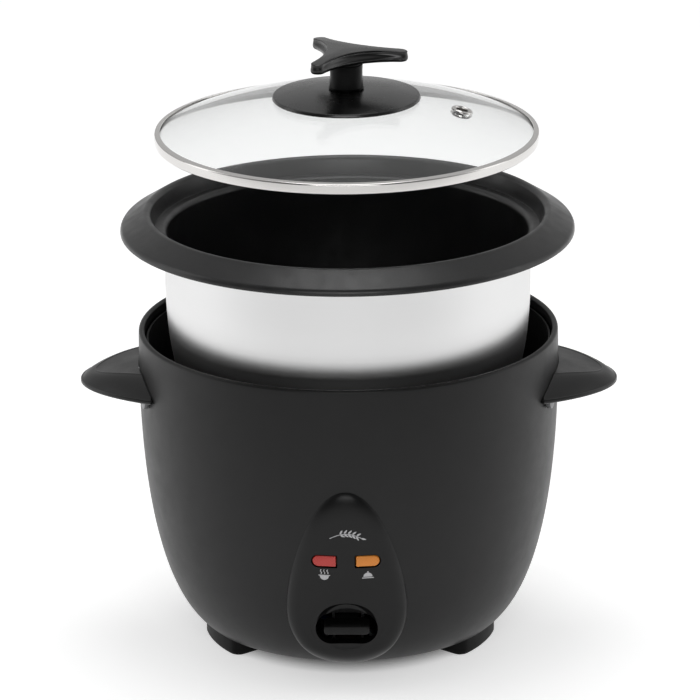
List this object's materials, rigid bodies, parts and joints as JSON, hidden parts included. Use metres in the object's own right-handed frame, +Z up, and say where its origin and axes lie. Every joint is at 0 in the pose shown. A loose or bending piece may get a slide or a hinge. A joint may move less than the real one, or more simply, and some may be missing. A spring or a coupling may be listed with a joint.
{
  "type": "rice cooker",
  "caption": "Electric rice cooker: black barrel housing with side handles and a lever panel, a lift-out metal pot and a glass lid with a star-shaped knob.",
  "frame": {"origin": "on the floor, under the middle of the cooker", "axes": "+Z up along the pot's axis; the control panel faces -Y; the handles point along +X and -X; the power inlet is at +Y"},
  "size_m": [0.29, 0.2436, 0.3266],
  "materials": {
    "black_coat": "smooth matt-satin black coating",
    "liner_coat": "matt black heat-proof coating",
    "black_plastic": "finely textured black phenolic and polypropylene",
    "pot_metal": "satin outside; the inside and the rim carry a black non-stick coating",
    "steel": "polished stainless",
    "zinc_steel": "zinc plated",
    "cast_aluminium": "as cast, faced on top",
    "glass": "clear tempered",
    "red_lens": "clear red, ribbed behind",
    "amber_lens": "clear amber, ribbed behind",
    "silicone": "matt",
    "ferrite": "sintered ferrite, ground",
    "brown_board": "phenolic",
    "ceramic": "unglazed ceramic",
    "brass": "bare",
    "brown_wire": "insulated",
    "blue_wire": "insulated"
  },
  "bodies": {
    "cooker": {"outer_housing": "black_coat", "inner_liner": "liner_coat", "base_plate": "black_plastic", "foot_front_right": "black_plastic", "foot_back_right": "black_plastic", "foot_back_left": "black_plastic", "foot_front_left": "black_plastic", "foot_screw_front_right": "zinc_steel", "foot_screw_back_right": "zinc_steel", "foot_screw_back_left": "zinc_steel", "foot_screw_front_left": "zinc_steel", "heating_plate": "cast_aluminium", "heating_element": "zinc_steel", "plate_spacer_1": "zinc_steel", "plate_spacer_2": "zinc_steel", "plate_spacer_3": "zinc_steel", "thermostat_body": "zinc_steel", "lever_bracket": "zinc_steel", "lever_pin": "steel", "switch_block": "brown_board", "control_panel": "black_plastic", "cook_lens": "red_lens", "warm_lens": "amber_lens", "cook_lamp": "glass", "warm_lamp": "glass", "lamp_board": "brown_board", "handle_left": "black_plastic", "handle_right": "black_plastic", "handle_bracket_left": "zinc_steel", "handle_bracket_right": "zinc_steel", "handle_screw_left_front": "zinc_steel", "handle_screw_left_back": "zinc_steel", "handle_screw_right_front": "zinc_steel", "handle_screw_right_back": "zinc_steel", "power_inlet": "black_plastic", "inlet_pin_live": "brass", "inlet_pin_neutral": "brass", "inlet_pin_earth": "brass", "thermal_fuse": "steel", "keep_warm_resistor": "ceramic", "wire_live": "brown_wire", "wire_neutral": "blue_wire", "sensor_spring": "steel", "release_spring": "steel"},
    "sensor": {"sensor_cap": "cast_aluminium", "ferrite_disc": "ferrite"},
    "magnet_group": {"magnet": "ferrite", "plunger_rod": "zinc_steel"},
    "cook_lever": {"lever_arm": "zinc_steel", "lever_knob": "black_plastic"},
    "switch_plunger": {"switch_button": "ceramic"},
    "pot": {"inner_pot": "pot_metal"},
    "lid": {"lid_glass": "glass", "lid_rim": "steel", "vent_eyelet": "steel", "knob_disc": "black_plastic", "knob_handle": "black_plastic", "knob_screw": "steel", "knob_seal": "silicone"}
  },
  "joints": [
    {"name": "pot_lift", "type": "slide", "parent": "cooker", "child": "pot", "axis": [0, 0, 1], "range_m": [-0.0537, 0.055]},
    {"name": "lid_lift", "type": "slide", "parent": "pot", "child": "lid", "axis": [0, 0, 1], "range_m": [-0.0474, 0.05]},
    {"name": "cap_press", "type": "slide", "parent": "cooker", "child": "sensor", "axis": [0, 0, 1], "range_m": [-0.003, 0], "stiffness_N_per_m": 600, "springref_m": 0.004, "deforming": ["sensor_spring"]},
    {"name": "lever_press", "type": "hinge", "parent": "cooker", "child": "cook_lever", "pos_m": [0, -0.062, 0.033], "axis": [1, 0, 0], "range_deg": [0, 6.8], "stiffness_Nm_per_rad": 0.3, "springref_deg": -5.73},
    {"name": "magnet_lift", "type": "slide", "parent": "cooker", "child": "magnet_group", "axis": [0, 0, 1], "range_m": [0, 0.00736], "deforming": ["release_spring"]},
    {"name": "switch_travel", "type": "slide", "parent": "cooker", "child": "switch_plunger", "axis": [0, 0, 1], "range_m": [0, 0.0015]}
  ],
  "couplings": [
    {"joint": "magnet_lift", "follows": "lever_press", "m_per_rad": 0.062},
    {"joint": "switch_travel", "follows": "lever_press", "m_per_rad": 0.0126}
  ]
}
